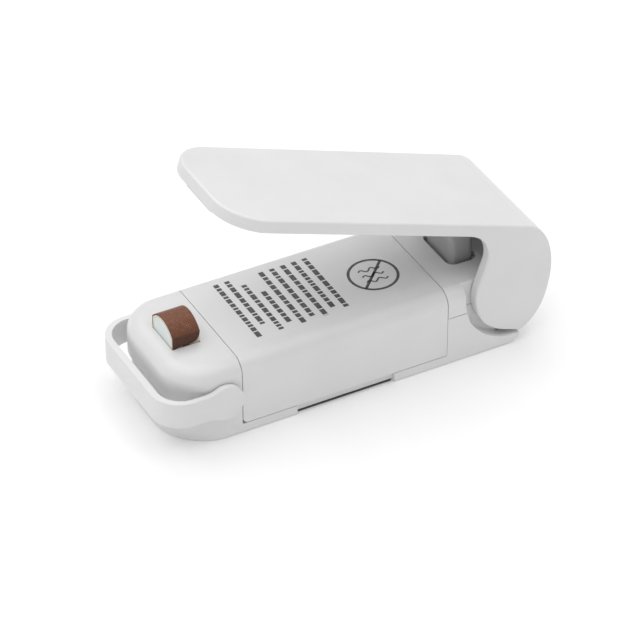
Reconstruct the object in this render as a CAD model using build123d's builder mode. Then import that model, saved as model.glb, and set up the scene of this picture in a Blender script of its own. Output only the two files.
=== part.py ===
"""Handheld bag heat sealer: a two-cell body with a heated nose and a sprung pressing arm.

Frame: millimetres, +Z up. The origin is on the base plane under the middle of the battery cover.
+X runs to the hinge, -X to the heated nose, and Y is the width. The arm is drawn at rest, held open.
"""
from build123d import *
from math import asin, atan2, cos, degrees, hypot, radians, sin, sqrt
import os

os.makedirs("parts", exist_ok=True)

# ---------------------------------------------------------------- body sizes
body_width = 37.0
body_height = 22.1
cover_length = 59.0          # battery cover, along X
head_length = 18.0           # from the cover's front edge to the nose
hinge_reach = 20.5           # from the cover's rear edge to the hinge axis
hinge_height = 14.5          # also the parting height of the tail
head_parting = 12.4          # also the height of the bail's studs
rim_height = 2.9             # base rim that shows under the cover
wall = 1.6
cover_wall = 1.4
floor = 2.0
seam = 0.2                   # gap between neighbouring housing pieces
tail_seam = 0.02             # cover's end line to the tail, below the hinge
nose_radius = 11.0           # plan corners of the nose
base_nose_radius = 14.0      # the same below the ring
top_edge_radius = 4.0
base_edge_radius = 0.6
notch_length = 28.0          # finger notches in the rims
notch_depth = 1.0

# ---------------------------------------------------------------- cells and contacts
cell_diameter = 14.5
cell_length = 49.5           # without the button
button_radius = 2.75
button_length = 1.0
cell_gap = 0.5
cell_seat = 3.4              # underside of the cells above the base plane
spring_room = 3.6            # compressed battery spring
contact_thickness = 0.3
tray_wall = 1.2
bulkhead = 1.5
fit_gap = 0.3                # between pieces that nest but don't touch

# ---------------------------------------------------------------- arm
arm_open_angle = 19.8        # at rest, nose up from level
arm_reach = 94.0             # from the hinge axis to the tip
arm_thickness = 3.6
arm_tip_radius = 11.5         # plan corners of the tip
arm_edge_radius = 0.7
closed_gap = 9.7             # from the body top to the underside of a level arm
cheek_thickness = 2.8
cheek_front = 13.3           # from the hinge axis forward to the cheek's front edge
cheek_radius = 13.0          # lower front round of the cheek
cheek_drop = 10.1            # from the hinge axis down to the cheek's lower edge
throat_radius = 8.0          # round between the arm's underside and the cheeks
back_reach = 8.9             # from the hinge axis to the outside of the back wall
back_wall = 1.8
crown_depth = 13.5           # how far the back rounds forward into the top
heel_radius = 15.5           # round of the back below the hinge
heel_corner = 1.5
side_gap = 0.35              # cheek to body
recess_gap = 1.95            # in front of the cheek
ledge_gap = 1.65             # under the cheek
rib_thickness = 1.2
pocket_depth = 1.6
pocket_rim = 2.6
pocket_count = 5

# ---------------------------------------------------------------- hinge
hub_radius = 6.2
pin_radius = 1.5
running_gap = 0.05
pin_grip = 1.6               # pin length inside each cheek
stop_radius = 1.0            # lug that stops the arm
stop_offset = 3.9
stop_depth = 0.9

# ---------------------------------------------------------------- heater
heater_length = 7.6          # along X
heater_width = 11.4
heater_rise = 6.2            # top of the tape above the body
dome_radius = 7.2
heater_from_nose = 5.2       # nose to the heater's front face
tape_thickness = 0.2
ribbon_thickness = 0.15
ribbon_width = 2.4
heat_pad_thickness = 0.6
press_gap = 0.15             # pad to tape at the end of the stroke
pad_length = 8.0
pad_width = 14.0
pad_sink = 1.2
pad_stand = 1.0              # pad below the arm's underside

# ---------------------------------------------------------------- return plunger and switch
plunger_from_hinge = 9.8
plunger_thickness = 6.6
plunger_width = 13.6
plunger_corner = 1.5
plunger_foot = 11.6          # lower end above the base at rest
plunger_flange = 1.4         # thickness of the catch under the deck
flange_width = 18.4
head_lean = 1.7              # how far the plunger's head stands forward
plunger_gap = 0.5            # head to arm
slot_gap = 1.0               # plunger to deck slot
spring_radius = 2.0
spring_wire = 0.5
spring_turns = 11
spring_side = -3.2           # Y of the spring
spring_hole = 2.6            # radius of the hollow that holds it
switch_width = 6.4
switch_length = 5.8
switch_travel = 0.4

# ---------------------------------------------------------------- bail
bail_thickness = 1.4         # at the sides
bail_bar = 1.8               # thickness across the nose
bail_gap = 0.25              # to the body sides
bail_nose_gap = 2.5          # to the nose
bail_height = 7.3
bail_pad_height = 10.0
bail_corner = 8.0
bail_blend = 8.0             # hollow round from the pads to the ring
stud_from_cover = 5.3        # from the cover's front edge to the studs
stud_radius = 1.8

# ---------------------------------------------------------------- small parts
magnet_length = 27.0
magnet_thickness = 0.8
screw_length = 9.0
screw_bite = 5.0             # length of screw in the upper piece
screw_radius = 1.0
screw_head_radius = 1.8
screw_head_height = 1.4
post_radius = 3.0
boss_radius = 2.2
screw_slack = 0.15
parting_gap = 0.1            # half the line between clamped shells
lead_radius = 0.6
lead_slack = 0.3
lead_side = 0.9              # Y of the leads between the cells
lead_height = 3.7

# ---------------------------------------------------------------- details
tail_rise = 3.9              # the base curves up this far in front of the hinge axis
tail_length = 4.9
tail_lip = 0.45
tail_step = 4.5              # from the tail's rear face to the hinge axis
tray_rise = 1.5              # tray walls above the middle of the cells
nose_post_y = 12.2
tail_post_y = 12.6
tail_post_x = 2.4            # behind the cover's rear edge
saddle_spacing = 30.0
saddle_reach = 13.0
cell_slack = 0.15
cell_edge = 0.5
plate_half = 4.5
battery_coil = 2.6
battery_wire = 0.6
battery_turns = 3
plate_corner = 1.0
cover_corner = 1.5
screw_drive = 0.5
stop_slack = 1.5             # degrees past each end of the arm's travel
tape_lift = 0.1
tape_clip = 2.0
block_gap = 0.15
block_half = 5.0
block_flange = 0.5
block_foot = 15.6
terminal_top = 18.0
terminal_width = 1.4
plunger_edge = 1.4
switch_side = 3.6
switch_button_radius = 1.2
switch_button_depth = 0.8
switch_edge = 0.3
button_stand = 1.0           # button above the switch body
spring_seat = 4.0            # top of the return spring above the plunger's catch
sleeve_wall = 1.0
lead_bend = 1.5
lead_turn = 2.5              # room beyond a bulkhead where a lead turns
lead_swing = 2.0             # how far a lead stands off its ribbon terminal
lead_spread = 1.5            # either side of the switch's middle
back_rise = -0.3             # where the back stands furthest out, above the hinge axis
pad_corner = 1.0
lug_gap = 0.2
pin_edge = 0.3

# ---------------------------------------------------------------- worked out
half_width = body_width / 2
cover_front = -cover_length / 2
cover_rear = cover_length / 2
nose_x = cover_front - head_length
hinge_x = cover_rear + hinge_reach
recess_x = hinge_x - cheek_front - recess_gap
ledge_top = hinge_height - cheek_drop - ledge_gap
tail_half_width = half_width - cheek_thickness - side_gap
cheek_inner = half_width - cheek_thickness
tail_face = hinge_x - tail_step
half_seam = seam / 2
bay_end = (cell_length + button_length + spring_room) / 2
bulkhead_inner = bay_end + contact_thickness
bulkhead_outer = bulkhead_inner + bulkhead
cell_y = (cell_diameter + cell_gap) / 2
cell_z = cell_seat + cell_diameter / 2
tray_outer = half_width - cover_wall - fit_gap
tray_height = cell_z + tray_rise
underside = body_height + closed_gap - hinge_height
arm_top = underside + arm_thickness
heater_front = nose_x + heater_from_nose
heater_x = heater_front + heater_length / 2
dome_half = heater_width / 2
plunger_x = hinge_x - plunger_from_hinge
stud_x = cover_front - stud_from_cover

# The arm closes until the pad stands press_gap above the tape.
pad_face = underside - pad_stand
tape_top = body_height + heater_rise
pad_swing = hypot(pad_face, hinge_x - heater_front)
closed_angle = degrees(
    asin((tape_top + press_gap - hinge_height) / pad_swing) - atan2(pad_face, hinge_x - heater_front)
)
press_angle = arm_open_angle - closed_angle


def plunger_height(angle):
    """Height of the centre of the plunger's round head when the arm stands at an angle."""
    reach = underside - head_radius - plunger_gap + plunger_from_hinge_head * sin(radians(angle))
    return hinge_height + reach / cos(radians(angle))


head_radius = (plunger_thickness + head_lean) / 2
plunger_from_hinge_head = plunger_from_hinge + head_lean / 2
head_z = plunger_height(arm_open_angle)
plunger_stroke = head_z - plunger_height(closed_angle)

# The arm's own planes: X along the arm to the rear, Z square to the plate.
arm_axis = (cos(radians(arm_open_angle)), 0, -sin(radians(arm_open_angle)))
arm_side = Plane(origin=(hinge_x, 0, hinge_height), x_dir=arm_axis, z_dir=(0, -1, 0))
arm_plan = Plane(
    origin=(hinge_x, 0, hinge_height),
    x_dir=arm_axis,
    z_dir=(sin(radians(arm_open_angle)), 0, cos(radians(arm_open_angle))),
)

rim_top = rim_height - half_seam
cover_foot = rim_height + half_seam
bulkhead_top = body_height - cover_wall - fit_gap
saddle_top = cell_z - cell_diameter / 4
tab_height = cell_z - plate_half / 2
lead_room = lead_radius + lead_slack
flange_top = body_height - wall - fit_gap
spring_top = flange_top + spring_seat
switch_top = plunger_foot - plunger_stroke - press_gap - button_stand
stop_start = 90 - press_angle / 2
stop_inner = tail_half_width - stop_depth - lug_gap
post_align = (Align.CENTER, Align.CENTER, Align.MIN)
screw_spots = [
    (heater_x, nose_post_y, head_parting),
    (heater_x, -nose_post_y, head_parting),
    (cover_rear + tail_post_x, tail_post_y, hinge_height),
    (cover_rear + tail_post_x, -tail_post_y, hinge_height),
]


def save(piece, name):
    """Labels a finished piece and writes it."""
    piece.part.label = name
    export_step(piece.part, f"parts/{name}.step")


def box_between(low, high, mode=Mode.ADD):
    """A box in the current part, from its lowest to its highest corner."""
    size = [b - a for a, b in zip(low, high)]
    with Locations(low):
        Box(*size, align=(Align.MIN, Align.MIN, Align.MIN), mode=mode)


# ---------------------------------------------------------------- housing forms
def nose_plan(front, rear, half, radius):
    """Plan outline with a round nose at front, cut square at rear."""
    with Locations(((front + rear) / 2, 0)):
        Rectangle(rear - front, 2 * half)
    fillet(vertices().sort_by(Axis.X)[:2], radius)


def cross_bar(x, z, radius, half):
    """A round bar across the body, reaching half each side of the middle."""
    with BuildPart() as bar:
        with BuildSketch(Plane.XZ):
            with Locations((x, z)):
                Circle(radius)
        extrude(amount=half, both=True)
    return bar.part


# The whole body as one form. The housing shells are cut from it along their seams.
base_end = (hinge_x - tail_rise, 0)
tail_tip = (base_end[0] + tail_length, ledge_top - tail_lip)
with BuildPart() as body_form:
    with BuildSketch():
        nose_plan(nose_x, hinge_x + back_reach, half_width, base_nose_radius)
    extrude(amount=head_parting)
    with BuildSketch(Plane.XY.offset(head_parting)):
        nose_plan(nose_x, hinge_x + back_reach, half_width, nose_radius)
    extrude(amount=body_height - head_parting)
    fillet(faces().sort_by(Axis.Z)[-1].edges().sort_by(Axis.X)[:-1], top_edge_radius)
    fillet(faces().sort_by(Axis.Z)[0].edges().sort_by(Axis.X)[:-1], base_edge_radius)
    with BuildSketch(Plane.XZ):
        with BuildLine():
            Line((nose_x, 0), base_end)
            TangentArc(base_end, tail_tip, tangent=(1, 0))
            Polyline(
                tail_tip,
                (tail_tip[0], ledge_top),
                (recess_x, ledge_top),
                (recess_x, body_height),
                (nose_x, body_height),
                (nose_x, 0),
            )
        make_face()
        fillet(vertices().sort_by_distance((recess_x, ledge_top))[0], cheek_radius + recess_gap)
    extrude(amount=half_width, both=True, mode=Mode.INTERSECT)
    with BuildSketch(Plane.XZ):
        with Locations((hinge_x, hinge_height)):
            Circle(hub_radius)
        with Locations(((cover_rear + tail_face) / 2, (hinge_height + body_height) / 2)):
            Rectangle(tail_face - cover_rear, body_height - hinge_height)
        make_hull()
        with Locations(((cover_rear + tail_face) / 2, body_height / 2)):
            Rectangle(tail_face - cover_rear, body_height - 2 * base_edge_radius)
    extrude(amount=tail_half_width, both=True)

# The hollow of the nose and the hollow of the tail.
with BuildPart() as nose_hollow:
    with BuildSketch(Plane.XY.offset(floor)):
        nose_plan(nose_x + wall, -bulkhead_outer, half_width - wall, base_nose_radius - wall)
    extrude(amount=body_height - wall - floor)
    fillet(faces().sort_by(Axis.Z)[-1].edges().sort_by(Axis.X)[:-1], top_edge_radius - wall)

with BuildPart() as tail_hollow:
    box_between(
        (bulkhead_outer, wall - half_width, floor),
        (recess_x - wall, half_width - wall, body_height - wall),
    )
    fillet(edges().filter_by(Axis.X).group_by(Axis.Z)[-1], top_edge_radius - wall)
    box_between(
        (bulkhead_outer, wall - tail_half_width, floor),
        (tail_face - wall, tail_half_width - wall, body_height - wall),
    )

pin_bore = cross_bar(hinge_x, hinge_height, pin_radius + running_gap, half_width)
stud_bore = cross_bar(stud_x, head_parting, stud_radius + running_gap, half_width)

# ---------------------------------------------------------------- chassis
with BuildPart() as chassis:
    add(body_form.part)
    add(nose_hollow.part, mode=Mode.SUBTRACT)
    add(tail_hollow.part, mode=Mode.SUBTRACT)
    with BuildSketch(Plane.XZ):
        with BuildLine():
            Polyline(
                (nose_x, 0),
                (hinge_x + back_reach, 0),
                (hinge_x + back_reach, hinge_height - parting_gap),
                (cover_rear + tail_seam, hinge_height - parting_gap),
                (cover_rear + tail_seam, rim_top),
                (cover_front - half_seam, rim_top),
                (cover_front - half_seam, head_parting - parting_gap),
                (nose_x, head_parting - parting_gap),
                close=True,
            )
        make_face()
    extrude(amount=half_width, both=True, mode=Mode.INTERSECT)
    # cell saddles, cut to the cells
    for x in (-saddle_spacing / 2, saddle_spacing / 2):
        box_between(
            (x - rib_thickness, -saddle_reach, rim_top), (x + rib_thickness, saddle_reach, saddle_top)
        )
    with BuildSketch(Plane.YZ):
        with Locations((-cell_y, cell_z), (cell_y, cell_z)):
            Circle(cell_diameter / 2 + cell_slack)
    extrude(amount=bay_end, both=True, mode=Mode.SUBTRACT)
    # tray walls and bulkheads, which stand inside the cover
    for side in (-1, 1):
        inner, outer = sorted((side * (tray_outer - tray_wall), side * tray_outer))
        box_between((-bulkhead_outer, inner, rim_top), (bulkhead_outer, outer, tray_height))
    for x in (-bulkhead_outer, bulkhead_inner):
        with BuildSketch(Plane.YZ.offset(x)):
            with Locations((0, (floor + bulkhead_top) / 2)):
                Rectangle(2 * tray_outer, bulkhead_top - floor)
            fillet(vertices().sort_by(Axis.Y)[-2:], top_edge_radius - cover_wall - fit_gap)
        extrude(amount=bulkhead)
    # ways through for the leads
    box_between(
        (-bulkhead_outer, -lead_side - lead_room, rim_top),
        (bulkhead_outer, lead_side + lead_room, lead_height + lead_room),
        mode=Mode.SUBTRACT,
    )
    with BuildSketch(Plane.YZ.offset(bulkhead_inner)):
        with Locations((-cell_y, tab_height), (cell_y, tab_height)):
            Circle(lead_room)
    extrude(amount=bulkhead, mode=Mode.SUBTRACT)
    # screw posts, bored and counterbored from below
    for x, y, parting in screw_spots:
        post_top = parting - parting_gap
        with Locations((x, y, floor / 2)):
            Cylinder(post_radius, post_top - floor / 2, align=post_align)
        with Locations((x, y, 0)):
            Cylinder(screw_radius + screw_slack, body_height, align=post_align, mode=Mode.SUBTRACT)
            Cylinder(
                screw_head_radius + screw_slack,
                parting + screw_bite - screw_length,
                align=post_align,
                mode=Mode.SUBTRACT,
            )
    # finger notches, and the pocket for the magnet between them
    for side in (-1, 1):
        inner, outer = sorted((side * (half_width - notch_depth), side * half_width))
        box_between(
            (-notch_length / 2, inner, 0), (notch_length / 2, outer, rim_top), mode=Mode.SUBTRACT
        )
    box_between(
        (-magnet_length / 2 - fit_gap, -half_width, 0),
        (magnet_length / 2 + fit_gap, half_width, magnet_thickness),
        mode=Mode.SUBTRACT,
    )
    add(pin_bore, mode=Mode.SUBTRACT)
    add(stud_bore, mode=Mode.SUBTRACT)
save(chassis, "chassis")

# ---------------------------------------------------------------- head shell
with BuildPart() as head_shell:
    add(body_form.part)
    add(nose_hollow.part, mode=Mode.SUBTRACT)
    box_between(
        (nose_x, -half_width, head_parting + parting_gap),
        (cover_front - half_seam, half_width, body_height),
        mode=Mode.INTERSECT,
    )
    for x, y, _ in screw_spots[:2]:
        with Locations((x, y, head_parting + parting_gap)):
            Cylinder(boss_radius, body_height - wall - head_parting, align=post_align)
        with Locations((x, y, head_parting)):
            Cylinder(screw_radius, screw_bite + screw_slack, align=post_align, mode=Mode.SUBTRACT)
    # opening for the heater, with a notch each side for the ribbon
    box_between(
        (heater_front - block_gap, -dome_half, floor),
        (heater_front + heater_length + block_gap, dome_half, body_height),
        mode=Mode.SUBTRACT,
    )
    add(stud_bore, mode=Mode.SUBTRACT)
save(head_shell, "head_shell")

# ---------------------------------------------------------------- tail cap
stop_path = CenterArc(
    (hinge_x, hinge_height), stop_offset, stop_start - stop_slack, press_angle + 2 * stop_slack
)
with BuildPart() as stop_slot:
    with BuildSketch(Plane.XZ):
        SlotArc(stop_path, 2 * (stop_radius + running_gap))
    extrude(amount=tail_half_width, both=True)
    box_between(
        (tail_face, -stop_inner, hinge_height),
        (hinge_x + hub_radius, stop_inner, body_height),
        mode=Mode.SUBTRACT,
    )

with BuildPart() as rear_cap:
    add(body_form.part)
    add(tail_hollow.part, mode=Mode.SUBTRACT)
    box_between(
        (cover_rear + half_seam, -half_width, hinge_height + parting_gap),
        (hinge_x + back_reach, half_width, body_height),
        mode=Mode.INTERSECT,
    )
    for x, y, _ in screw_spots[2:]:
        with Locations((x, y, hinge_height + parting_gap)):
            Cylinder(boss_radius, body_height - wall - hinge_height, align=post_align)
        with Locations((x, y, hinge_height)):
            Cylinder(screw_radius, screw_bite + screw_slack, align=post_align, mode=Mode.SUBTRACT)
    # guide sleeve under the deck for the plunger's flange, then the slot above it
    sleeve_x = plunger_thickness / 2 + fit_gap
    sleeve_y = flange_width / 2 + fit_gap
    box_between(
        (plunger_x - sleeve_x - sleeve_wall, -sleeve_y - sleeve_wall, hinge_height + parting_gap),
        (plunger_x + sleeve_x + sleeve_wall, sleeve_y + sleeve_wall, body_height - wall),
    )
    box_between(
        (plunger_x - sleeve_x, -sleeve_y, floor),
        (plunger_x + sleeve_x, sleeve_y, body_height - wall),
        mode=Mode.SUBTRACT,
    )
    with BuildSketch(Plane.XY.offset(body_height - wall)):
        with Locations((plunger_x, 0)):
            RectangleRounded(
                plunger_thickness + 2 * slot_gap, plunger_width + 2 * slot_gap, plunger_corner + slot_gap
            )
    extrude(amount=wall, mode=Mode.SUBTRACT)
    add(pin_bore, mode=Mode.SUBTRACT)
    add(stop_slot.part, mode=Mode.SUBTRACT)
save(rear_cap, "rear_cap")

# ---------------------------------------------------------------- battery cover
with BuildPart() as battery_cover:
    with BuildSketch(Plane.YZ):
        with Locations((0, (cover_foot + body_height) / 2)):
            Rectangle(body_width, body_height - cover_foot)
        fillet(vertices().sort_by(Axis.Y)[-2:], top_edge_radius)
        with Locations((0, (cover_foot + body_height) / 2 - cover_wall)):
            Rectangle(body_width - 2 * cover_wall, body_height - cover_foot, mode=Mode.SUBTRACT)
        fillet(vertices().group_by(Axis.Y)[-2], top_edge_radius - cover_wall)
    extrude(amount=cover_length / 2 - half_seam, both=True)
    fillet(edges().filter_by(Axis.Y).group_by(Axis.Z)[0].group_by(Axis.X)[0], cover_corner)
    # ribs that hold the cells down
    for x in (-saddle_spacing / 2, 0, saddle_spacing / 2):
        box_between(
            (x - rib_thickness / 2, -saddle_reach, cell_z + cell_diameter / 2 + fit_gap),
            (x + rib_thickness / 2, saddle_reach, body_height - cover_wall / 2),
        )
save(battery_cover, "battery_cover")

# ---------------------------------------------------------------- magnet and screws
with BuildPart() as base_magnet:
    magnet_half = half_width - notch_depth - running_gap
    box_between(
        (-magnet_length / 2, -magnet_half, 0),
        (magnet_length / 2, magnet_half, magnet_thickness - running_gap),
    )
save(base_magnet, "base_magnet")

with BuildPart() as housing_screws:
    for x, y, parting in screw_spots:
        seat = parting + screw_bite - screw_length
        with Locations((x, y, seat - screw_head_height)):
            Cylinder(screw_head_radius, screw_head_height, align=post_align)
            Box(screw_head_radius, screw_drive, screw_drive, align=post_align, mode=Mode.SUBTRACT)
            Box(screw_drive, screw_head_radius, screw_drive, align=post_align, mode=Mode.SUBTRACT)
        with Locations((x, y, seat)):
            Cylinder(screw_radius - running_gap, screw_length, align=post_align)
save(housing_screws, "housing_screws")


# ---------------------------------------------------------------- cells and contacts
def make_cell(side):
    """One cell along X, its button towards side."""
    with BuildPart() as cell:
        end = side * bay_end
        with BuildSketch(Plane.YZ.offset(end - side * (button_length + running_gap))):
            with Locations((-side * cell_y, cell_z)):
                Circle(cell_diameter / 2)
        extrude(amount=-side * cell_length)
        fillet(edges().filter_by(GeomType.CIRCLE), cell_edge)
        with BuildSketch(Plane.YZ.offset(end - side * running_gap)):
            with Locations((-side * cell_y, cell_z)):
                Circle(button_radius)
        extrude(amount=-side * (button_length + cell_edge))
    return cell


battery_left = make_cell(1)
save(battery_left, "battery_left")
battery_right = make_cell(-1)
save(battery_right, "battery_right")


def make_plate(x, low_y, high_y):
    """A flat contact plate against a bulkhead, its inner face at x."""
    with BuildPart() as plate:
        outer = x + contact_thickness if x > 0 else x - contact_thickness
        box_between(
            (min(x, outer), low_y, cell_z - plate_half), (max(x, outer), high_y, cell_z + plate_half)
        )
        fillet(edges().filter_by(Axis.X), plate_corner)
    return plate


bridge_contact = make_plate(-bay_end, -cell_y - plate_half, cell_y + plate_half)
save(bridge_contact, "bridge_contact")
positive_contact = make_plate(bay_end, -cell_y - plate_half, -cell_y + plate_half)
save(positive_contact, "positive_contact")
negative_contact = make_plate(bay_end, cell_y - plate_half, cell_y + plate_half)
save(negative_contact, "negative_contact")


def coil(start, direction, radius, height, wire, turns):
    """A round wire wound about an axis; height includes the wire."""
    rise = height - wire
    with BuildPart() as spring:
        with BuildLine() as path:
            Helix(rise / turns, rise, radius, center=start, direction=direction)
        with BuildSketch(Plane(origin=path.line @ 0, z_dir=path.line % 0)):
            Circle(wire / 2)
        sweep(path=path.line, is_frenet=True)
    return spring


with BuildPart() as contact_springs:
    for side in (-1, 1):
        start = (side * (bay_end - running_gap - battery_wire / 2), side * cell_y, cell_z)
        height = spring_room - 3 * running_gap
        add(coil(start, (-side, 0, 0), battery_coil, height, battery_wire, battery_turns).part)
save(contact_springs, "contact_springs")


# ---------------------------------------------------------------- heater
def dome_layer(insets, x, length, foot):
    """A slice of the heater along +X from x, down to foot: solid to one inset, or a layer between two."""
    centre_z = tape_top - dome_radius
    with BuildPart() as layer:
        with BuildSketch(Plane.YZ.offset(x)):
            for inset, mode in zip(insets, (Mode.ADD, Mode.SUBTRACT)):
                half = dome_half - inset
                shoulder = centre_z + sqrt((dome_radius - inset) ** 2 - half**2)
                with BuildLine():
                    Polyline((-half, shoulder), (-half, floor), (half, floor), (half, shoulder))
                    ThreePointArc((half, shoulder), (0, tape_top - inset), (-half, shoulder))
                make_face(mode=mode)
        extrude(amount=length)
        box_between((x, -dome_half, floor), (x + length, dome_half, foot), mode=Mode.SUBTRACT)
    return layer


pad_inset = tape_thickness + ribbon_thickness
with BuildPart() as ptfe_tape:
    add(dome_layer((0, tape_thickness), heater_front, heater_length, body_height + tape_lift).part)
    with BuildSketch(Plane.XZ):
        with Locations((heater_front + heater_length, body_height)):
            Circle(tape_clip)
    extrude(amount=dome_half, mode=Mode.SUBTRACT)
save(ptfe_tape, "ptfe_tape")

block_inset = pad_inset + heat_pad_thickness
heat_pad = dome_layer((pad_inset, block_inset), heater_front, heater_length, body_height - wall)
save(heat_pad, "heat_pad")

heating_ribbon = dome_layer(
    (tape_thickness, pad_inset), heater_x - ribbon_width / 2, ribbon_width, terminal_top
)
save(heating_ribbon, "heating_ribbon")

with BuildPart() as heater_block:
    add(dome_layer((block_inset,), heater_front, heater_length, block_foot).part)
    box_between(
        (heater_front - block_flange, -block_half, body_height - wall - 2 * block_flange),
        (heater_front + heater_length + block_flange, block_half, body_height - wall - running_gap),
    )
save(heater_block, "heater_block")

block_side = dome_half - block_inset + running_gap
with BuildPart() as ribbon_terminals:
    for side in (-1, 1):
        inner, outer = sorted((side * block_side, side * (block_side + terminal_width)))
        box_between(
            (heater_x - ribbon_width / 2, inner, block_foot),
            (heater_x + ribbon_width / 2, outer, terminal_top - running_gap),
        )
save(ribbon_terminals, "ribbon_terminals")

# ---------------------------------------------------------------- return plunger and switch
with BuildPart() as return_plunger:
    front = plunger_x - plunger_thickness / 2
    back = plunger_x + plunger_thickness / 2
    flare = body_height + plunger_stroke + plunger_gap
    with BuildSketch(Plane.XZ):
        with BuildLine():
            Polyline(
                (back, head_z),
                (back, plunger_foot),
                (front, plunger_foot),
                (front, flare),
                (front - head_lean, head_z),
            )
            ThreePointArc(
                (front - head_lean, head_z), (back - head_radius, head_z + head_radius), (back, head_z)
            )
        make_face()
    extrude(amount=plunger_width / 2, both=True)
    sides = faces().filter_by(Axis.Y)
    fillet(sides.edges().filter_by(lambda e: e.center().Z > plunger_foot), plunger_edge)
    box_between(
        (front, -flange_width / 2, flange_top - plunger_flange), (back, flange_width / 2, flange_top)
    )
    with Locations((plunger_x, spring_side, plunger_foot)):
        Cylinder(spring_hole, spring_top - plunger_foot, align=post_align, mode=Mode.SUBTRACT)
save(return_plunger, "return_plunger")

return_spring = coil(
    (plunger_x, spring_side, floor + running_gap + spring_wire / 2),
    (0, 0, 1),
    spring_radius,
    spring_top - floor - 2 * running_gap,
    spring_wire,
    spring_turns,
)
save(return_spring, "return_spring")

with BuildPart() as switch_body:
    box_between(
        (plunger_x - switch_length / 2, switch_side - switch_width / 2, floor),
        (plunger_x + switch_length / 2, switch_side + switch_width / 2, switch_top),
    )
    fillet(edges().filter_by(Axis.Z), switch_edge)
    with Locations((plunger_x, switch_side, switch_top)):
        Cylinder(
            switch_button_radius + running_gap,
            switch_button_depth + switch_travel,
            align=(Align.CENTER, Align.CENTER, Align.MAX),
            mode=Mode.SUBTRACT,
        )
save(switch_body, "switch_body")

with BuildPart() as switch_button:
    with Locations((plunger_x, switch_side, switch_top - switch_button_depth + running_gap)):
        Cylinder(
            switch_button_radius,
            plunger_foot - plunger_stroke - press_gap - switch_top + switch_button_depth - running_gap,
            align=post_align,
        )
    fillet(edges().group_by(Axis.Z)[-1], switch_edge)
save(switch_button, "switch_button")


# ---------------------------------------------------------------- leads
def make_lead(points):
    """An insulated lead along straight runs joined by arcs."""
    with BuildPart() as lead:
        with BuildLine() as path:
            FilletPolyline(*points, radius=lead_bend)
        with BuildSketch(Plane(origin=path.line @ 0, z_dir=path.line % 0)):
            Circle(lead_radius)
        sweep(path=path.line)
    return lead


terminal_z = (block_foot + terminal_top) / 2
lead_start = dome_half - block_inset + terminal_width + 3 * running_gap
lead_rise = bulkhead_outer + lead_turn
switch_front = plunger_x - switch_length / 2 - running_gap


def nose_run(side):
    """The corners of a lead from a ribbon terminal to the channel between the cells."""
    return [
        (heater_x, side * lead_start, terminal_z),
        (heater_x, side * (lead_start + lead_swing), terminal_z),
        (-bulkhead_outer - 2 * lead_turn, side * (lead_start + lead_swing), cell_z),
        (-bulkhead_outer - lead_turn, side * lead_side, lead_height),
    ]


lead_positive = make_lead(
    nose_run(-1)
    + [
        (lead_rise, -lead_side, lead_height),
        (lead_rise, -cell_y, tab_height),
        (bulkhead_inner + running_gap, -cell_y, tab_height),
    ]
)
save(lead_positive, "lead_positive")

lead_heater = make_lead(
    nose_run(1)
    + [
        (lead_rise, lead_side, lead_height),
        (lead_rise + lead_turn, switch_side - lead_spread, lead_height),
        (switch_front, switch_side - lead_spread, lead_height),
    ]
)
save(lead_heater, "lead_heater")

lead_negative = make_lead(
    [
        (bulkhead_inner + running_gap, cell_y, tab_height),
        (lead_rise, cell_y, tab_height),
        (lead_rise + lead_turn, switch_side + lead_spread, lead_height),
        (switch_front, switch_side + lead_spread, lead_height),
    ]
)
save(lead_negative, "lead_negative")

# ---------------------------------------------------------------- bail
bail_inner = half_width + bail_gap
bail_outer = bail_inner + bail_thickness
bail_front = nose_x - bail_nose_gap - bail_bar
bail_end = stud_x + bail_pad_height / 2
bail_foot = head_parting - bail_pad_height / 2
with BuildPart() as bail:
    with BuildSketch(Plane.XY.offset(bail_foot)):
        nose_plan(bail_front, bail_end, bail_outer, bail_corner)
    extrude(amount=bail_pad_height)
    with BuildSketch(Plane.XY.offset(bail_foot)):
        nose_plan(bail_front + bail_bar, bail_end, bail_inner, bail_corner - bail_thickness)
    extrude(amount=bail_pad_height, mode=Mode.SUBTRACT)
    with BuildSketch(Plane.XZ):
        with Locations((stud_x, head_parting)):
            Circle(bail_pad_height / 2)
        with Locations(((bail_front + stud_x) / 2, head_parting)):
            Rectangle(stud_x - bail_front, bail_height)
        fillet(vertices().filter_by(lambda v: bail_front + 1 < v.X < stud_x - 1), bail_blend)
    extrude(amount=bail_outer, both=True, mode=Mode.INTERSECT)
    add(cross_bar(stud_x, head_parting, stud_radius, bail_inner + bail_thickness / 2))
    box_between(
        (stud_x - stud_radius, wall - half_width, bail_foot),
        (stud_x + stud_radius, half_width - wall, bail_foot + bail_pad_height),
        mode=Mode.SUBTRACT,
    )
save(bail, "bail")

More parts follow.
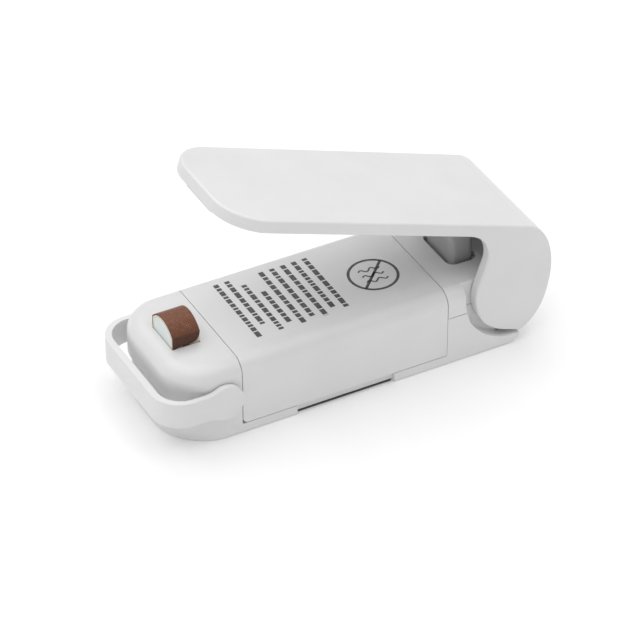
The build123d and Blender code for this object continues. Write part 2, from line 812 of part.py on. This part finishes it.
# ---------------------------------------------------------------- pressing arm
crown_x = back_reach - crown_depth
heel_x = back_reach - heel_radius
heel_angle = degrees(asin((cheek_drop + back_rise) / heel_radius))
pad_u = (heater_x - hinge_x) / cos(radians(closed_angle))
pocket_front = pad_u + pad_length / 2 + pocket_rim
pocket_rear = -cheek_front - throat_radius - rib_thickness
pocket_length = (pocket_rear - pocket_front - (pocket_count - 1) * rib_thickness) / pocket_count
pocket_half = half_width - pocket_rim
lug_x = hinge_x + stop_offset * cos(radians(stop_start))
lug_z = hinge_height + stop_offset * sin(radians(stop_start))
with BuildPart() as press_arm:
    with BuildSketch(arm_side):
        with BuildLine():
            Polyline(
                (crown_x, arm_top),
                (-arm_reach, arm_top),
                (-arm_reach, underside),
                (-cheek_front, underside),
                (-cheek_front, -cheek_drop),
                (heel_x + heel_radius * cos(radians(heel_angle)), -cheek_drop),
            )
            CenterArc((heel_x, back_rise), heel_radius, -heel_angle, heel_angle)
            EllipticalCenterArc((crown_x, back_rise), crown_depth, arm_top - back_rise, arc_size=90)
        make_face()
        fillet(vertices().sort_by_distance((-cheek_front, underside))[0], throat_radius)
        fillet(vertices().sort_by_distance((-cheek_front, -cheek_drop))[0], cheek_radius)
        fillet(vertices().sort_by(Axis.Y)[:2].sort_by(Axis.X)[-1], heel_corner)
    extrude(amount=half_width, both=True)
    upright = Axis((0, 0, 0), arm_plan.z_dir)
    fillet(edges().filter_by(upright).sort_by(Axis.X)[:2], arm_tip_radius)
    fillet(faces().filter_by(Axis.Y).edges(), arm_edge_radius)
    # the space between the cheeks, open at the front and below
    with BuildSketch(arm_side):
        with BuildLine():
            Polyline(
                (crown_x, underside),
                (-cheek_front - throat_radius - 1, underside),
                (-cheek_front - throat_radius - 1, -heel_radius),
                (heel_x, -heel_radius),
                (heel_x, back_rise - heel_radius + back_wall),
            )
            CenterArc((heel_x, back_rise), heel_radius - back_wall, -90, 90)
            EllipticalCenterArc(
                (crown_x, back_rise), crown_depth - back_wall, underside - back_rise, arc_size=90
            )
        make_face()
    extrude(amount=cheek_inner, both=True, mode=Mode.SUBTRACT)
    # pockets between ribs in the underside, and the seat for the pad
    with BuildSketch(arm_plan.offset(underside)):
        for i in range(pocket_count):
            with Locations((pocket_front + (i + 0.5) * pocket_length + i * rib_thickness, 0)):
                RectangleRounded(pocket_length, 2 * pocket_half, arm_edge_radius)
    extrude(amount=pocket_depth, mode=Mode.SUBTRACT)
    with BuildSketch(arm_plan.offset(underside)):
        with Locations((pad_u, 0)):
            RectangleRounded(
                pad_length + 2 * running_gap, pad_width + 2 * running_gap, pad_corner + running_gap
            )
    extrude(amount=pad_sink + running_gap, mode=Mode.SUBTRACT)
    # the stop lugs, and the sockets for the pin
    add(cross_bar(lug_x, lug_z, stop_radius, cheek_inner + stop_radius))
    box_between(
        (lug_x - 2 * stop_radius, -stop_inner - lug_gap, lug_z - 2 * stop_radius),
        (lug_x + 2 * stop_radius, stop_inner + lug_gap, lug_z + 2 * stop_radius),
        mode=Mode.SUBTRACT,
    )
    add(
        cross_bar(hinge_x, hinge_height, pin_radius + running_gap, cheek_inner + pin_grip + lug_gap),
        mode=Mode.SUBTRACT,
    )
save(press_arm, "press_arm")

with BuildPart() as press_pad:
    with BuildSketch(arm_plan.offset(pad_face)):
        with Locations((pad_u, 0)):
            RectangleRounded(pad_length, pad_width, pad_corner)
    extrude(amount=pad_stand + pad_sink)
save(press_pad, "press_pad")

with BuildPart() as hinge_pin:
    add(cross_bar(hinge_x, hinge_height, pin_radius, cheek_inner + pin_grip))
    fillet(edges(), pin_edge)
save(hinge_pin, "hinge_pin")
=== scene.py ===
"""The looks of the handheld bag heat sealer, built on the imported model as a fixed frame. Metres."""
import random
from math import asin, cos, pi, radians, sin, sqrt

import bpy
from mathutils import Matrix, Vector


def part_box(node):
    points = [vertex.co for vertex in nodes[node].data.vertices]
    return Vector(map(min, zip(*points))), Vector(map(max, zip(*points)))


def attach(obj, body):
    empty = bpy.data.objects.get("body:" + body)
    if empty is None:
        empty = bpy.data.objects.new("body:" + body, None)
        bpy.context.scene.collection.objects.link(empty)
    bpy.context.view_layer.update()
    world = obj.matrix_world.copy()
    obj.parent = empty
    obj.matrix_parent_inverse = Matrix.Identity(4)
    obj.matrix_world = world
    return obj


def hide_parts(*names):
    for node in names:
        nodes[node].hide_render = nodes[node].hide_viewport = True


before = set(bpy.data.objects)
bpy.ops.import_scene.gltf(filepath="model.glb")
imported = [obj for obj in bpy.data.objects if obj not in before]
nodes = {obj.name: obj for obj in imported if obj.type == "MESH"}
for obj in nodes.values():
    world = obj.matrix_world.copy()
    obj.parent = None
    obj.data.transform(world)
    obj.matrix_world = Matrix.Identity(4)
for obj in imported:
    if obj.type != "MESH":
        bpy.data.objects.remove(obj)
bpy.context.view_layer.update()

MM = 0.001

# ---------------------------------------------------------------- camera
CAMERA_AZIMUTH = radians(-28.38)
CAMERA_ELEVATION = radians(37.02)
CAMERA_LENS = 219.35
CAMERA_DISTANCE = 1.004
CAMERA_SENSOR = 36
CAMERA_NEAR = 0.01
CAMERA_SCALE = 37 / 36           # the fit was made on a body 36 mm wide
CAMERA_AIM = (2.05, 9.83)        # right and up from the origin, across the view, in fit millimetres


def make_camera():
    right = Vector((cos(CAMERA_AZIMUTH), sin(CAMERA_AZIMUTH), 0))
    back = Vector(
        (
            sin(CAMERA_AZIMUTH) * cos(CAMERA_ELEVATION),
            -cos(CAMERA_AZIMUTH) * cos(CAMERA_ELEVATION),
            sin(CAMERA_ELEVATION),
        )
    )
    up = back.cross(right)
    target = (right * CAMERA_AIM[0] + up * CAMERA_AIM[1]) * CAMERA_SCALE * MM
    data = bpy.data.cameras.new("camera")
    data.lens = CAMERA_LENS
    data.sensor_width = CAMERA_SENSOR
    data.clip_start = CAMERA_NEAR
    camera = bpy.data.objects.new("camera", data)
    bpy.context.scene.collection.objects.link(camera)
    turn = Matrix((right, up, back)).transposed().to_4x4()
    camera.matrix_world = Matrix.Translation(target + back * CAMERA_DISTANCE) @ turn
    bpy.context.scene.camera = camera


make_camera()


# ---------------------------------------------------------------- node helpers
class Shader:
    """A material's node tree, with short calls to add and join nodes."""

    def __init__(self, name):
        self.material = bpy.data.materials.new(name)
        self.material.use_nodes = True
        self.tree = self.material.node_tree
        self.base = self.tree.nodes["Principled BSDF"]

    def add(self, kind, inputs=None, **settings):
        node = self.tree.nodes.new(kind)
        for key, value in settings.items():
            setattr(node, key, value)
        for key, value in (inputs or {}).items():
            self.put(node, key, value)
        return node

    def put(self, node, key, value):
        if isinstance(value, bpy.types.NodeSocket):
            self.tree.links.new(value, node.inputs[key])
        else:
            node.inputs[key].default_value = value

    def place(self):
        """The point on the object, in metres."""
        return self.add("ShaderNodeTexCoord").outputs["Object"]

    def split(self, vector):
        """The outputs X, Y and Z of a vector."""
        return self.add("ShaderNodeSeparateXYZ", {"Vector": vector}).outputs

    def facing(self):
        """The outputs X, Y and Z of the way the surface faces."""
        return self.split(self.add("ShaderNodeNewGeometry").outputs["Normal"])

    def noise(self, scale, detail=2.0, roughness=0.5):
        """Noise with cells of about 1 / scale metres."""
        node = self.add("ShaderNodeTexNoise", {"Vector": self.place()})
        node.inputs["Scale"].default_value = scale
        node.inputs["Detail"].default_value = detail
        node.inputs["Roughness"].default_value = roughness
        return node.outputs["Fac"]

    def ramp(self, value, stops):
        """A colour ramp through (position, colour) stops."""
        node = self.add("ShaderNodeValToRGB", {"Fac": value})
        elements = node.color_ramp.elements
        while len(elements) < len(stops):
            elements.new(0.5)
        for element, (position, colour) in zip(elements, stops):
            element.position = position
            element.color = (*colour, 1)
        return node.outputs["Color"]

    def range(self, value, low, high):
        """The value from 0..1 to low..high."""
        node = self.add("ShaderNodeMapRange", {"Value": value})
        node.inputs["To Min"].default_value = low
        node.inputs["To Max"].default_value = high
        return node.outputs["Result"]

    def math(self, operation, first, second=0.0):
        node = self.add("ShaderNodeMath", operation=operation)
        self.put(node, 0, first)
        self.put(node, 1, second)
        return node.outputs["Value"]

    def bump(self, height, distance, strength):
        node = self.add("ShaderNodeBump", {"Height": height})
        node.inputs["Distance"].default_value = distance
        node.inputs["Strength"].default_value = strength
        self.put(self.base, "Normal", node.outputs["Normal"])

    def set(self, **values):
        """Values of the shader's own sockets, by name with _ for a space."""
        for key, value in values.items():
            self.put(self.base, key.replace("_", " "), value)


def shade(colour, factor):
    return tuple(min(1.0, channel * factor) for channel in colour)


FLOW_VARIATION = 0.02            # how far the plastic's colour drifts either way


def moulded_plastic(name, colour, roughness=0.36, grain=0.25):
    """Injection-moulded plastic: a very fine grain and faint flow variation."""
    shader = Shader(name)
    cloud = shader.noise(60, 3)
    shader.set(
        Base_Color=shader.ramp(
            cloud, [(0.3, shade(colour, 1 - FLOW_VARIATION)), (0.7, shade(colour, 1 + FLOW_VARIATION))]
        ),
        Roughness=shader.range(shader.noise(240, 4), roughness - 0.05, roughness + 0.05),
        IOR=1.5,
    )
    shader.bump(shader.noise(5200, 2), 0.02 * MM, grain)
    return shader.material


METAL_STRETCH = (1, 12, 12)      # the fine lines run along X
METAL_LINES = 900


def brushed_metal(name, colour, roughness=0.3):
    """Drawn or rolled metal with fine lines along one axis."""
    shader = Shader(name)
    mapping = shader.add("ShaderNodeMapping", {"Vector": shader.place()})
    mapping.inputs["Scale"].default_value = METAL_STRETCH
    lines = shader.add("ShaderNodeTexNoise", {"Vector": mapping.outputs["Vector"]})
    lines.inputs["Scale"].default_value = METAL_LINES
    lines.inputs["Detail"].default_value = 3
    shader.set(
        Base_Color=shader.ramp(
            lines.outputs["Fac"], [(0.3, shade(colour, 0.85)), (0.7, shade(colour, 1.1))]
        ),
        Roughness=shader.range(lines.outputs["Fac"], roughness - 0.08, roughness + 0.1),
        Metallic=1.0,
    )
    shader.bump(lines.outputs["Fac"], 0.01 * MM, 0.4)
    return shader.material


def soft_rubber(name, colour, roughness=0.6):
    """Silicone or rubber: matt, dusty, with a slight sheen."""
    shader = Shader(name)
    dust = shader.noise(420, 5, 0.6)
    shader.set(
        Base_Color=shader.ramp(dust, [(0.3, shade(colour, 0.93)), (0.75, shade(colour, 1.05))]),
        Roughness=shader.range(dust, roughness - 0.08, roughness + 0.1),
        Sheen_Weight=0.15,
        Sheen_Roughness=0.5,
    )
    shader.bump(shader.noise(2600, 3), 0.04 * MM, 0.5)
    return shader.material


WEAVE_PITCH = 0.55               # millimetres between threads
WEAVE_SCALE = pi / 10 / WEAVE_PITCH
WEAVE_WANDER = 1.4
PAINTED_TOP_LIGHT = 0.34         # painted light: how much paler the cloth's colour is made where it faces up, standing for the light from above
WEAVE_SHARE = 0.22
BLOTCH_SHARE = 0.5


def glass_cloth(name, dark, middle, light):
    """Woven glass cloth soaked in PTFE: mottled brown, the weave standing proud, with painted light making
    faces that point up paler than upright sides.
    """
    shader = Shader(name)
    cloth = shader.add("ShaderNodeTexCoord").outputs["UV"]
    threads = []
    for direction in ("X", "Y"):
        wave = shader.add(
            "ShaderNodeTexWave",
            {"Vector": cloth},
            wave_type="BANDS",
            bands_direction=direction,
            wave_profile="SIN",
        )
        wave.inputs["Scale"].default_value = WEAVE_SCALE
        wave.inputs["Distortion"].default_value = WEAVE_WANDER
        wave.inputs["Detail"].default_value = 2.0
        threads.append(wave.outputs["Fac"])
    weave = shader.math("MULTIPLY", threads[0], threads[1])
    blotch = shader.noise(900, 5, 0.7)
    # painted light: faces pointing up get a paler colour, standing for the light from above
    painted_top_light = shader.math("MULTIPLY", shader.facing()["Z"], PAINTED_TOP_LIGHT)
    mottling = shader.math(
        "ADD",
        shader.math("MULTIPLY", weave, WEAVE_SHARE),
        shader.math("MULTIPLY", blotch, BLOTCH_SHARE),
    )
    tone = shader.math("ADD", painted_top_light, mottling)
    shader.set(
        Base_Color=shader.ramp(tone, [(0.2, dark), (0.56, middle), (0.86, light)]),
        Roughness=shader.range(blotch, 0.38, 0.6),
        Coat_Weight=0.1,
        Coat_Roughness=0.4,
        Specular_IOR_Level=0.35,
    )
    shader.bump(shader.math("ADD", weave, shader.math("MULTIPLY", blotch, 0.8)), 0.06 * MM, 0.7)
    return shader.material


CELL_BAND_HALF = 12              # half the length of the band, in millimetres
CELL_END_FACING = 0.6            # a face turned this far along X belongs to an end


def cell_jacket(name, jacket, band, metal):
    """A cell: shrink-wrapped jacket with a lighter band round the middle, and bare metal ends."""
    shader = Shader(name)
    end = shader.math("GREATER_THAN", shader.math("ABSOLUTE", shader.facing()["X"]), CELL_END_FACING)
    along = shader.math("ABSOLUTE", shader.split(shader.place())["X"])
    middle = shader.math("LESS_THAN", along, CELL_BAND_HALF * MM)
    print_colour = shader.ramp(middle, [(0.0, jacket), (1.0, band)])
    scuffs = shader.noise(500, 5, 0.7)
    mixed = shader.add("ShaderNodeMix", {"Factor": end}, data_type="RGBA")
    shader.tree.links.new(print_colour, mixed.inputs[6])
    mixed.inputs[7].default_value = (*metal, 1)
    shader.set(
        Base_Color=mixed.outputs[2],
        Metallic=end,
        Roughness=shader.range(scuffs, 0.2, 0.36),
    )
    shader.bump(scuffs, 0.02 * MM, 0.3)
    return shader.material


WHITE = (0.80, 0.80, 0.80)
MATERIALS = {
    "shell": moulded_plastic("white_abs", WHITE),
    # painted shade: the plunger gets the white plastic darkened to 0.55, standing for the shade it sits in
    # under the press arm
    "plunger_painted_shade": moulded_plastic("white_abs_painted_shade", shade(WHITE, 0.55), roughness=0.45, grain=0.4),
    "tape": glass_cloth(
        "ptfe_glass_cloth", (0.055, 0.016, 0.008), (0.16, 0.052, 0.024), (0.34, 0.15, 0.08)
    ),
    "heat_pad": soft_rubber("heat_pad_silicone", (0.80, 0.70, 0.58)),
    "block": moulded_plastic("heater_block_phenolic", (0.80, 0.86, 0.84), roughness=0.55, grain=0.6),
    "steel": brushed_metal("nickel_steel", (0.62, 0.61, 0.59)),
    "spring": brushed_metal("spring_steel", (0.55, 0.55, 0.56), 0.25),
    "brass": brushed_metal("brass", (0.72, 0.52, 0.22)),
    "cell": cell_jacket("cell_jacket", (0.03, 0.05, 0.09), (0.35, 0.37, 0.40), (0.62, 0.61, 0.59)),
    "dark": moulded_plastic("switch_black", (0.02, 0.02, 0.022), roughness=0.5, grain=0.6),
    "button": moulded_plastic("switch_red", (0.45, 0.03, 0.02), roughness=0.35),
    "lead_red": soft_rubber("lead_red", (0.45, 0.02, 0.015), 0.4),
    "lead_black": soft_rubber("lead_black", (0.015, 0.015, 0.015), 0.4),
    "magnet": soft_rubber("flexible_magnet", (0.035, 0.034, 0.034), 0.7),
    "press_pad": soft_rubber("press_pad_silicone", (0.74, 0.73, 0.70), 0.5),
}
NODE_MATERIALS = {
    "shell": ["chassis", "head_shell", "rear_cap", "battery_cover", "press_arm", "bail"],
    # painted shade: the plunger takes the darkened white plastic
    "plunger_painted_shade": ["return_plunger"],
    "tape": ["ptfe_tape"],
    "heat_pad": ["heat_pad"],
    "block": ["heater_block"],
    "steel": [
        "housing_screws",
        "hinge_pin",
        "bridge_contact",
        "positive_contact",
        "negative_contact",
        "heating_ribbon",
    ],
    "spring": ["contact_springs", "return_spring"],
    "brass": ["ribbon_terminals"],
    "cell": ["battery_left", "battery_right"],
    "dark": ["switch_body"],
    "button": ["switch_button"],
    "lead_red": ["lead_positive", "lead_heater"],
    "lead_black": ["lead_negative"],
    "magnet": ["base_magnet"],
    "press_pad": ["press_pad"],
}
WELD_DISTANCE = 0.001            # millimetres, as are the softened edges
BEVEL_SEGMENTS = 3
BEVEL_ANGLE = radians(35)        # only edges sharper than this are rounded
EDGE_SOFTENING = {
    "chassis": 0.15,
    "head_shell": 0.15,
    "rear_cap": 0.15,
    "battery_cover": 0.15,
    "bail": 0.3,
    "return_plunger": 0.2,
    "press_pad": 0.3,
    "heater_block": 0.1,
    "base_magnet": 0.1,
}


def soften(node, width):
    """Rounds a CAD node's sharp edges a little, so that they catch the light."""
    weld = node.modifiers.new("weld", "WELD")
    weld.merge_threshold = WELD_DISTANCE * MM
    bevel = node.modifiers.new("bevel", "BEVEL")
    bevel.width = width * MM
    bevel.segments = BEVEL_SEGMENTS
    bevel.limit_method = "ANGLE"
    bevel.angle_limit = BEVEL_ANGLE
    bevel.use_clamp_overlap = True
    bevel.harden_normals = True


for slot_name, members in NODE_MATERIALS.items():
    for member in members:
        nodes[member].data.materials.clear()
        nodes[member].data.materials.append(MATERIALS[slot_name])
for member, edge_width in EDGE_SOFTENING.items():
    soften(nodes[member], edge_width)


# ---------------------------------------------------------------- heater tape
TAPE_THICKNESS = 0.2
TAPE_CLIP = 3.0                  # the clipped lower corner, as wide as it is high
TAPE_RAGGED = 0.12               # waviness of the cut edges
TAPE_STEPS = (38, 96)            # faces along X and round the dome
DOME_RADIUS = 7.2


def add_mesh(name, vertices, faces, material, body, smooth=True):
    """A mesh piece from points in millimetres, riding on a body."""
    mesh = bpy.data.meshes.new(name)
    mesh.from_pydata([Vector(v) * MM for v in vertices], [], faces)
    mesh.update()
    mesh.materials.append(material)
    for polygon in mesh.polygons:
        polygon.use_smooth = smooth
    piece = bpy.data.objects.new(name, mesh)
    bpy.context.scene.collection.objects.link(piece)
    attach(piece, body)
    return piece


def make_tape():
    """The brown cloth over the heater: one strip bent over the dome, its lower edges cut by hand."""
    low, high = (Vector(corner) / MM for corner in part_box("ptfe_tape"))
    half = high.y - TAPE_THICKNESS / 2
    radius = DOME_RADIUS - TAPE_THICKNESS / 2
    centre_z = high.z - DOME_RADIUS
    shoulder_z = centre_z + sqrt(radius**2 - half**2)
    shoulder_turn = asin(half / radius)
    columns, rows = TAPE_STEPS
    side_rows = rows // 5

    def foot(x, side):
        """Height of the cut edge at x, on the side facing -Y or +Y."""
        wave = TAPE_RAGGED * (sin(2.1 * x + 2 * side) + 0.5 * sin(5.3 * x + side))
        height = low.z + TAPE_RAGGED * 1.5 + wave
        reach = x - (high.x - TAPE_CLIP)
        if side < 0 and reach > 0:
            height += TAPE_CLIP - sqrt(max(0.0, TAPE_CLIP**2 - reach**2))
        return height

    vertices, uvs = [], []
    for i in range(columns + 1):
        x = low.x + (high.x - low.x) * i / columns
        path = []
        for j in range(rows + 1):
            if j < side_rows:
                bottom = foot(x, -1)
                path.append((-half, bottom + (shoulder_z - bottom) * j / side_rows))
            elif j > rows - side_rows:
                bottom = foot(x, 1)
                path.append((half, bottom + (shoulder_z - bottom) * (rows - j) / side_rows))
            else:
                turn = (2 * (j - side_rows) / (rows - 2 * side_rows) - 1) * shoulder_turn
                path.append((radius * sin(turn), centre_z + radius * cos(turn)))
        along = 0.0
        for j, (y, z) in enumerate(path):
            if j:
                along += sqrt((y - path[j - 1][0]) ** 2 + (z - path[j - 1][1]) ** 2)
            vertices.append((x, y, z))
            uvs.append((x - low.x, along))
    faces = [
        (first + j, first + j + 1, second + j + 1, second + j)
        for first, second in ((i * (rows + 1), (i + 1) * (rows + 1)) for i in range(columns))
        for j in range(rows)
    ]
    tape = add_mesh("tape_wrap", vertices, faces, MATERIALS["tape"], "body")
    layer = tape.data.uv_layers.new(name="cloth")
    for loop in tape.data.loops:
        layer.data[loop.index].uv = uvs[loop.vertex_index]
    thickness = tape.modifiers.new("thickness", "SOLIDIFY")
    thickness.thickness = TAPE_THICKNESS * MM
    thickness.offset = 0
    thickness.use_even_offset = True
    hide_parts("ptfe_tape")


make_tape()

# ---------------------------------------------------------------- print on the battery cover
PRINT_HEIGHT = 0.02              # above the cover
PRINT_FIRST_X = -20.6            # the row nearest the nose
PRINT_PITCH = 3.15
PRINT_LINE = 1.4                 # thickness of a bar
PRINT_START = 13.6
PRINT_WORD = (0.8, 2.6)          # shortest and longest bar
PRINT_SPACE = 0.4
PRINT_SEED = 7
# How far each row starts in from the first and how long it is: plain bars stand for the lines of text.
PRINT_ROWS = [
    (0.0, 24.6),
    (0.0, 20.2),
    (3.4, 21.0),
    (8.2, 14.6),
    (0.6, 24.2),
    (0.6, 22.6),
    (0.6, 24.0),
    (0.6, 22.0),
    (0.6, 23.2),
]
ICON_CENTRE = (17.0, -1.5)
ICON_RADIUS = 6.4
ICON_LINE = 0.75
ICON_STEPS = 64                  # sides of the ring
WAVE_OFFSETS = (-2.4, 0.0, 2.4)
WAVE_LENGTH = 6
WAVE_RISE = 0.55
WAVE_STEPS = 24
WAVE_TURNS = 2
WAVE_LINE = 0.6                  # of the ring's line


def make_print():
    """Plain bars and a plain no-touch sign, as thin ink on the cover's top face."""
    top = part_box("battery_cover")[1][2] / MM + PRINT_HEIGHT
    vertices, faces = [], []

    def stroke(points, width, closed=False):
        """A flat line of the given width along points."""
        start = len(vertices)
        count = len(points)
        for k, point in enumerate(points):
            before = points[(k - 1) % count] if closed or k else point
            after = points[(k + 1) % count] if closed or k < count - 1 else point
            run = (Vector(after) - Vector(before)).normalized()
            side = Vector((-run.y, run.x)) * width / 2
            vertices.append((point[0] + side.x, point[1] + side.y, top))
            vertices.append((point[0] - side.x, point[1] - side.y, top))
        for k in range(count if closed else count - 1):
            a, b = start + 2 * k, start + 2 * ((k + 1) % count)
            faces.append((a, a + 1, b + 1, b))

    draw = random.Random(PRINT_SEED)
    for row, (indent, length) in enumerate(PRINT_ROWS):
        x = PRINT_FIRST_X + row * PRINT_PITCH
        y = PRINT_START - indent
        end = y - length
        while y > end:
            word = min(draw.uniform(*PRINT_WORD), y - end)
            stroke([(x, y), (x, y - word)], PRINT_LINE)
            y -= word + PRINT_SPACE
    icon_x, icon_y = ICON_CENTRE
    turns = [2 * pi * k / ICON_STEPS for k in range(ICON_STEPS)]
    ring = [(icon_x + ICON_RADIUS * cos(turn), icon_y + ICON_RADIUS * sin(turn)) for turn in turns]
    stroke(ring, ICON_LINE, closed=True)
    slash = ICON_RADIUS * sqrt(0.5)
    stroke([(icon_x - slash, icon_y - slash), (icon_x + slash, icon_y + slash)], ICON_LINE)
    for offset in WAVE_OFFSETS:
        wave = []
        for k in range(WAVE_STEPS + 1):
            part = k / WAVE_STEPS
            rise = WAVE_RISE * sin(2 * pi * WAVE_TURNS * part)
            wave.append((icon_x + WAVE_LENGTH * (part - 0.5), icon_y + offset + rise))
        stroke(wave, ICON_LINE * WAVE_LINE)
    add_mesh("cover_print", vertices, faces, MATERIALS["ink"], "cover", smooth=False)


def printed_ink(name):
    """Pad-printed ink: dark grey and slightly broken where it thins."""
    shader = Shader(name)
    thin = shader.noise(1800, 4, 0.7)
    shader.set(
        Base_Color=shader.ramp(thin, [(0.35, (0.045, 0.045, 0.045)), (0.72, (0.16, 0.16, 0.16))]),
        Roughness=shader.range(thin, 0.45, 0.65),
    )
    return shader.material


MATERIALS["ink"] = printed_ink("print_ink")
make_print()


# ---------------------------------------------------------------- studio
WORLD_STRENGTH = 0.38
LIGHT_AIM = (0, 0, 0.02)
# Name, place, side of the square and power of each light.
LIGHTS = [
    ("key", (0.0, 0.12, 1.0), 1.8, 13.7),
    ("front_fill", (-1.1, 0.1, 0.35), 0.7, 0.65),
]
FLOOR_SIZE = 6
FLOOR_DROP = 0.0001              # keeps the floor clear of the part's flat base
FLOOR_GLOW = 0.12


def add_area(name, place, size, power):
    """A square light that points at the part."""
    data = bpy.data.lights.new(name, "AREA")
    data.shape = "SQUARE"
    data.size = size
    data.energy = power
    light = bpy.data.objects.new(name, data)
    light.location = place
    light.rotation_euler = (Vector(place) - Vector(LIGHT_AIM)).to_track_quat("Z", "Y").to_euler()
    bpy.context.scene.collection.objects.link(light)


def make_studio():
    world = bpy.data.worlds.new("studio")
    world.use_nodes = True
    sky = world.node_tree.nodes["Background"].inputs
    sky["Color"].default_value = (1, 1, 1, 1)
    sky["Strength"].default_value = WORLD_STRENGTH
    bpy.context.scene.world = world
    for light in LIGHTS:
        add_area(*light)
    shader = Shader("pale_floor")
    shader.set(
        Base_Color=shader.ramp(
            shader.noise(40, 3), [(0.3, (0.90, 0.90, 0.90)), (0.7, (0.93, 0.93, 0.93))]
        ),
        Roughness=0.6,
        Emission_Color=(1, 1, 1, 1),
        Emission_Strength=FLOOR_GLOW,
    )
    bpy.ops.mesh.primitive_plane_add(size=FLOOR_SIZE, location=(0, 0, -FLOOR_DROP))
    floor = bpy.context.object
    floor.name = "floor"
    floor.data.materials.append(shader.material)
    bpy.context.scene.view_settings.view_transform = "Standard"


make_studio()
